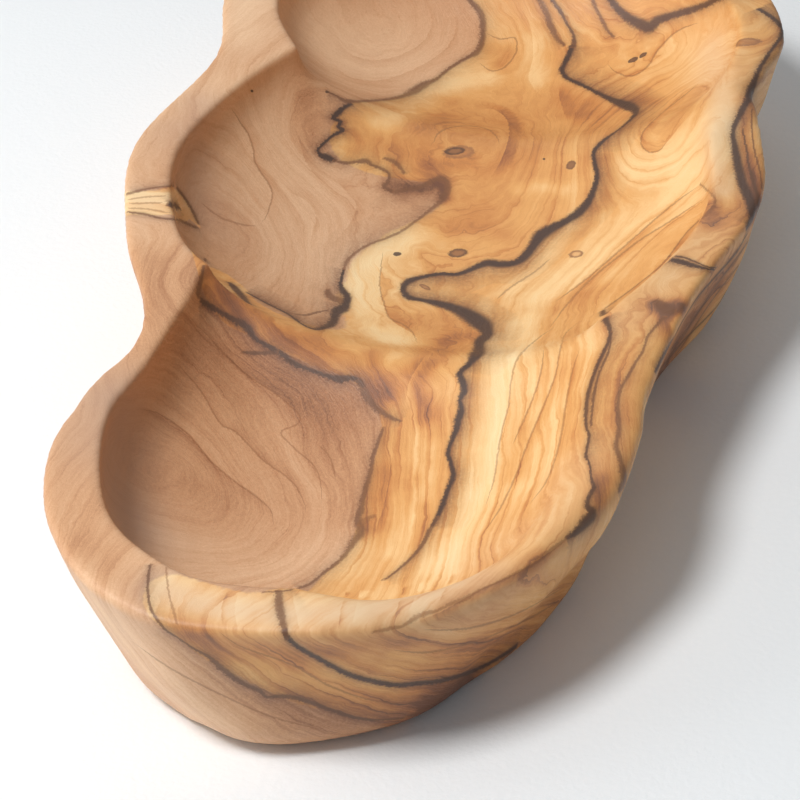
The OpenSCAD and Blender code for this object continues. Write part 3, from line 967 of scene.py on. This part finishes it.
def lay_lines(surface, name, lines, reach_of):
    """Stores signed distance and two values of each line in layers, so that no layer holds two close ones."""
    layers = []
    for line, first, second in lines:
        kept, nearest, signed = surface.near(line, LAYER_GAP)
        for layer in layers:
            if not layer["taken"][kept].any():
                break
        else:
            count = len(surface.points)
            layer = {"taken": np.zeros(count, bool), "data": np.zeros((count, 3))}
            layers.append(layer)
        layer["taken"][kept] = True
        shown = np.abs(signed) / MM < reach_of(first)[nearest]
        rows = np.stack([signed / MM, first[nearest], second[nearest]], axis=1)
        layer["data"][kept[shown]] = rows[shown]
    for i, layer in enumerate(layers):
        surface.store(f"{name}_{i}", layer["data"])
    return len(layers)


def lay_veins(surface):
    """Stores the dark veins and the fine growth lines, and the colour that bleeds from the veins."""
    lines = []
    bleed = np.zeros(len(surface.points))
    traced = [(tone, left, right, surface.trace(points)) for tone, left, right, points in VEINS.values()]
    for side, tone, left, right, points in HIDDEN_VEINS.values():
        traced.append((tone, left, right, surface.trace(points, side)))
    for tone, left, right, runs in traced:
        for line in runs:
            width = line.values[:, 0] * line.spans
            width[[0, -1]] = 0
            lines.append((line, width, np.full(len(width), tone)))
            kept, nearest, signed = surface.near(line, BLEED_REACH)
            beyond = np.maximum(np.abs(signed) / MM - BLEED_START * width[nearest], 0)
            fade = np.where(signed > 0, left, right) * line.spans[nearest]
            strength = tone * np.clip(width[nearest] / BLEED_FULL_WIDTH, 0, 1) * np.exp(-beyond / fade)
            bleed[kept] = np.maximum(bleed[kept], strength)
    for pixels in FINE_LINES:
        for line in surface.trace(pixels):
            width = FINE_HALF_WIDTH * line.spans * line.taper(FINE_TAPER)
            lines.append((line, width, np.full(len(width), FINE_TONE)))
    surface.store("bleed", bleed)
    return lay_lines(surface, "vein", lines, lambda width: np.where(width > 0, width + VEIN_MARGIN, 0))


def lay_flames(surface):
    """Stores the growth layers that are sharp on one side."""
    lines = []
    for change, fade, pixels in FLAMES:
        for line in surface.trace(pixels):
            lines.append((line, fade * line.spans, change * line.taper(FLAME_TAPER)))
    return lay_lines(surface, "flame", lines, lambda fade: FLAME_MARGIN * fade)


def soft_strokes(surface, strokes):
    """Sum of soft strokes at each vertex, from a strength, a half width in pixels and pixels for each."""
    total = np.zeros(len(surface.points))
    for strength, half_width, pixels in strokes:
        most = np.zeros(len(surface.points))
        for line in surface.trace(pixels):
            spans = half_width * line.spans
            kept, nearest, signed = surface.near(line, STROKE_ENDS * spans.max() * MM)
            share = np.exp(-((signed / MM / spans[nearest]) ** 2))
            most[kept] = np.maximum(most[kept], share)
        total += strength * most
    return total


def lay_strips(surface, border):
    """The border field with the strips of sapwood added to it."""
    for side, points in SAP_STRIPS:
        for line in surface.trace(points, side):
            kept, nearest, signed = surface.near(line, STRIP_REACH)
            inside = line.values[nearest, 0] * line.spans[nearest] - np.abs(signed) / MM
            border[kept] = np.maximum(border[kept], inside)
    return border


def place_knots(surface):
    """Middle of each knot on the surface, with the directions that measure its half width and height."""
    turn = surface.camera.matrix_world.to_3x3()
    knots = []
    for across, down, half_width, half_height, degrees, rim, core in KNOTS:
        middle, _ = surface.cast(across, down, None)
        angle = math.radians(degrees)
        along = turn @ Vector((math.cos(angle), math.sin(angle), 0)) * PIXELS_PER_MM / half_width / MM
        over = turn @ Vector((-math.sin(angle), math.cos(angle), 0)) * PIXELS_PER_MM / half_height / MM
        depth = turn @ Vector((0, 0, 1)) / KNOT_DEPTH
        knots.append((middle, along, over, depth, rim, core))
    return knots


def linear(red, green, blue):
    """Colour written as the eye sees it, 0 to 255, as Blender's linear colour, by the sRGB curve."""
    share = np.array([red, green, blue]) / 255
    return (*np.where(share <= 0.04045, share / 12.92, ((share + 0.055) / 1.055) ** 2.4), 1)


class Graph:
    """Shader nodes written as expressions."""

    def __init__(self, material):
        material.use_nodes = True
        self.tree = material.node_tree
        self.shader = self.tree.nodes["Principled BSDF"]

    def plug(self, value, socket):
        if isinstance(value, bpy.types.NodeSocket):
            self.tree.links.new(value, socket)
        else:
            socket.default_value = value

    def add(self, kind, inputs=(), output=0, **settings):
        node = self.tree.nodes.new(kind)
        for key, value in settings.items():
            setattr(node, key, value)
        pairs = inputs.items() if isinstance(inputs, dict) else enumerate(inputs)
        for key, value in pairs:
            self.plug(value, node.inputs[key])
        return node.outputs[output]

    def math(self, operation, *values):
        return self.add("ShaderNodeMath", values, operation=operation)

    def plus(self, *values):
        total = values[0]
        for value in values[1:]:
            total = self.math("ADD", total, value)
        return total

    def times(self, a, b):
        return self.math("MULTIPLY", a, b)

    def vector(self, operation, *values, output=0):
        return self.add("ShaderNodeVectorMath", values, output, operation=operation)

    def centred(self, noise, spread):
        """A noise from 0 to 1 as a value from minus half to plus half a spread."""
        return self.math("MULTIPLY_ADD", noise, spread, -spread / 2)

    def attribute(self, name, output="Fac"):
        return self.add("ShaderNodeAttribute", output=output, attribute_name=name)

    def split(self, vector):
        return self.add("ShaderNodeSeparateXYZ", [vector]).node.outputs

    def join(self, x, y, z):
        return self.add("ShaderNodeCombineXYZ", [x, y, z])

    def noise(self, vector, scale, detail, roughness=0.5):
        inputs = {"Vector": vector, "Scale": scale, "Detail": detail, "Roughness": roughness}
        return self.add("ShaderNodeTexNoise", inputs, output="Fac")

    def bump(self, height, settings):
        self.plug(self.add("ShaderNodeBump", {**settings, "Height": height}), self.shader.inputs["Normal"])

    def step(self, value, low, high, to_low=0.0, to_high=1.0):
        inputs = {"Value": value, "From Min": low, "From Max": high, "To Min": to_low, "To Max": to_high}
        return self.add("ShaderNodeMapRange", inputs, interpolation_type="SMOOTHSTEP")

    def mix(self, share, first, second):
        """Mix of two colours, which the node takes at its inputs 6 and 7 and gives at its output 2."""
        return self.add("ShaderNodeMix", {0: share, 6: first, 7: second}, 2, data_type="RGBA")

    def palette(self, shade, stops):
        """Colour for a shade from -1 to 1, from stops of shade and colour."""
        node = self.add("ShaderNodeValToRGB", [self.math("MULTIPLY_ADD", shade, 0.5, 0.5)]).node
        ramp = node.color_ramp
        while len(ramp.elements) < len(stops):
            ramp.elements.new(0.5)
        for element, (at, colour) in zip(ramp.elements, stops):
            element.position = (at + 1) / 2
            element.color = linear(*colour)
        return node.outputs[0]


def make_wood(vein_layers, flame_layers, knots):
    """Oiled olive wood: taupe heartwood and honey sapwood with growth lines, veins, knots and shading, partly
    painted light and shade.
    """
    material = bpy.data.materials.new("olive_wood")
    g = Graph(material)
    place = g.add("ShaderNodeTexCoord", output="Object")
    mm = g.vector("MULTIPLY", place, (1 / MM, 1 / MM, 1 / MM))
    x, y, _ = g.split(mm)
    noises = {name: g.noise(mm, *setting) for name, setting in NOISES.items()}
    wander = g.math("MULTIPLY_ADD", g.attribute("burl"), WILD_WANDER, PLAIN_WANDER)
    wild = g.times(g.centred(noises["slow"], 1.0), wander)
    ring = g.plus(g.attribute("ring"), wild, g.centred(noises["ripple"], RING_RIPPLE))
    for name, (across, along, detail, roughness) in GRAIN_NOISES.items():
        rows = g.join(g.times(ring, across), g.times(x, along), g.times(y, along))
        noises[name] = g.noise(rows, 1.0, detail, roughness)
    fray, fibre, streak = noises["fray"], noises["fibre"], noises["streak"]

    def spread(spreads):
        return [g.centred(noises[name], amount) for name, amount in spreads.items()]

    phase = g.math("FRACT", g.plus(g.times(ring, LATE_RATE), g.times(noises["band"], LATE_WANDER)))
    late_wood = g.times(g.math("POWER", phase, LATE_SHARPNESS), g.step(streak, *LATE_STREAKS))
    contrast = g.plus(g.attribute("contrast"), 1.0)

    def bands(spreads, late):
        return g.times(g.plus(*spread(spreads), g.times(late_wood, late)), contrast)

    shade = g.attribute("shade")
    for i in range(flame_layers):
        distance, reach, change = g.split(g.attribute(f"flame_{i}", "Vector"))
        off = g.plus(distance, g.centred(fray, FLAME_FRAY))
        gone = g.math("DIVIDE", off, g.math("MAXIMUM", reach, FLAME_LEAST))
        rest = g.math("MAXIMUM", g.math("SUBTRACT", 1.0, gone), 0.0)
        sharp = g.step(off, *FLAME_EDGE)
        shade = g.plus(shade, g.times(change, g.times(sharp, g.times(rest, rest))))
    sap_shade = g.plus(shade, bands(SAP_BANDS, SAP_LATE), *spread(SAP_SPREADS))
    pores = g.times(g.step(noises["pore"], *PORE_EDGE), PORE_SHADE)
    heart_bands = bands(HEART_BANDS, HEART_LATE)
    heart_shade = g.plus(g.times(shade, HEART_SHADE), pores, heart_bands, *spread(HEART_SPREADS))
    sap = g.palette(sap_shade, SAP_PALETTE)
    # Greying mixed in where the strokes lie: partly the wood's tone, partly painted sheen and painted cool
    # shade
    grey_sheen_sap = g.mix(g.step(sap_shade, *GREY_SHEEN_COVER), sap, linear(*GREY_SHEEN_SAP_COLOUR))
    sap = g.mix(g.attribute("grey_sheen_shade"), sap, grey_sheen_sap)
    heart = g.mix(g.attribute("grey_sheen_shade"), g.palette(heart_shade, HEART_PALETTE), linear(*GREY_SHEEN_HEART_COLOUR))
    border = g.plus(g.attribute("heart"), *spread(BORDER_SPREADS))
    colour = g.mix(g.step(border, *BORDER_EDGE), heart, sap)

    patchy = g.plus(g.times(streak, BLEED_STREAK), g.centred(fray, BLEED_FRAY))
    bleed = g.times(g.attribute("bleed"), g.step(patchy, *BLEED_PATCHES))
    colour = g.mix(g.math("MINIMUM", bleed, 1.0), colour, linear(*BLEED))
    for i in range(vein_layers):
        distance, width, tone = g.split(g.attribute(f"vein_{i}", "Vector"))
        loose = g.math("MINIMUM", g.times(width, VEIN_FRAY), VEIN_FRAY_MOST)
        off = g.math("ABSOLUTE", g.plus(distance, g.times(g.centred(fray, 1.0), loose)))
        ratio = g.math("DIVIDE", off, g.math("MAXIMUM", width, VEIN_LEAST))
        core = g.times(g.step(ratio, *VEIN_EDGE), g.step(width, *VEIN_THIN))
        strength = g.times(core, g.math("MULTIPLY_ADD", tone, *VEIN_COVER))
        colour = g.mix(strength, colour, g.mix(tone, linear(*VEIN_PALE), linear(*VEIN_DARK)))
    core_gain, core_least = KNOT_CORE_COVER
    for middle, along, over, depth, rim, core in knots:
        apart = g.vector("SUBTRACT", place, middle)
        parts = [g.vector("DOT_PRODUCT", apart, way, output="Value") for way in (along, over, depth)]
        out = g.plus(g.vector("LENGTH", g.join(*parts), output="Value"), g.centred(fray, KNOT_FRAY))
        dark = g.step(out, *KNOT_CORE, core, rim)
        core_cover = min(KNOT_COVER, core_least + core_gain * core)
        cover = g.times(g.step(out, *KNOT_EDGE), g.step(out, *KNOT_CORE, core_cover, KNOT_COVER))
        colour = g.mix(cover, colour, g.mix(dark, linear(*KNOT_PALE), linear(*KNOT_DARK)))
    g.plug(colour, g.shader.inputs["Base Color"])
    g.plug(g.step(fibre, *WOOD_ROUGHNESS), g.shader.inputs["Roughness"])
    g.bump(g.plus(fibre, g.times(noises["speckle"], BUMP_SPECKLE)), WOOD_BUMP)
    return material


def make_stage():
    """Pale table, window light from the near left and soft fill."""
    bpy.ops.mesh.primitive_plane_add(size=TABLE_SIZE)
    floor = bpy.context.object
    floor.name = "table"
    material = bpy.data.materials.new("pale_table")
    g = Graph(material)
    g.shader.inputs["Base Color"].default_value = TABLE_COLOUR
    g.shader.inputs["Roughness"].default_value = TABLE_ROUGHNESS
    g.bump(g.noise(g.add("ShaderNodeTexCoord", output="Object"), *PLASTER), TABLE_BUMP)
    floor.data.materials.append(material)
    for name, (place, size, power) in LAMPS.items():
        data = bpy.data.lights.new(name, "AREA")
        data.shape = "DISK"
        data.size = size
        data.energy = power
        lamp = bpy.data.objects.new(name, data)
        lamp.location = place
        lamp.rotation_mode = "QUATERNION"
        lamp.rotation_quaternion = (-place).to_track_quat("-Z", "Y")
        bpy.context.scene.collection.objects.link(lamp)
    world = bpy.data.worlds.new("room")
    world.use_nodes = True
    background = world.node_tree.nodes["Background"]
    background.inputs["Color"].default_value = ROOM_COLOUR
    background.inputs["Strength"].default_value = ROOM_LIGHT
    bpy.context.scene.world = world


bpy.context.scene.view_settings.view_transform = "Standard"
camera = make_camera()
dish = make_dish()
surface = Surface(dish.data, camera)
sand(surface)
grain_lines = [line for pixels in FINE_LINES + GRAIN_LINES for line in surface.trace(pixels)]
grain_lines += [line for name in GRAIN_VEINS for line in surface.trace(VEINS[name][-1])]
surface.store("ring", fit_field(grain_lines, False, GRAIN_STRIDE)(surface.points))
border_lines = surface.trace(HEART_BORDER)
for name in HIDDEN_BORDERS:
    side, *_, points = HIDDEN_VEINS[name]
    border_lines += surface.trace(points[::-1], side)
border = fit_field(border_lines, True, BORDER_STRIDE)(surface.points)
surface.store("heart", lay_strips(surface, border))
vein_layers = lay_veins(surface)
flame_layers = lay_flames(surface)
for name, strokes in {"shade": SHADES, "burl": BURLS, "grey_sheen_shade": GREY_SHEEN_SHADE, "contrast": CONTRASTS}.items():
    surface.store(name, soft_strokes(surface, strokes))
dish.data.materials.append(make_wood(vein_layers, flame_layers, place_knots(surface)))
make_stage()
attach(dish, "root")
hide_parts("dish")
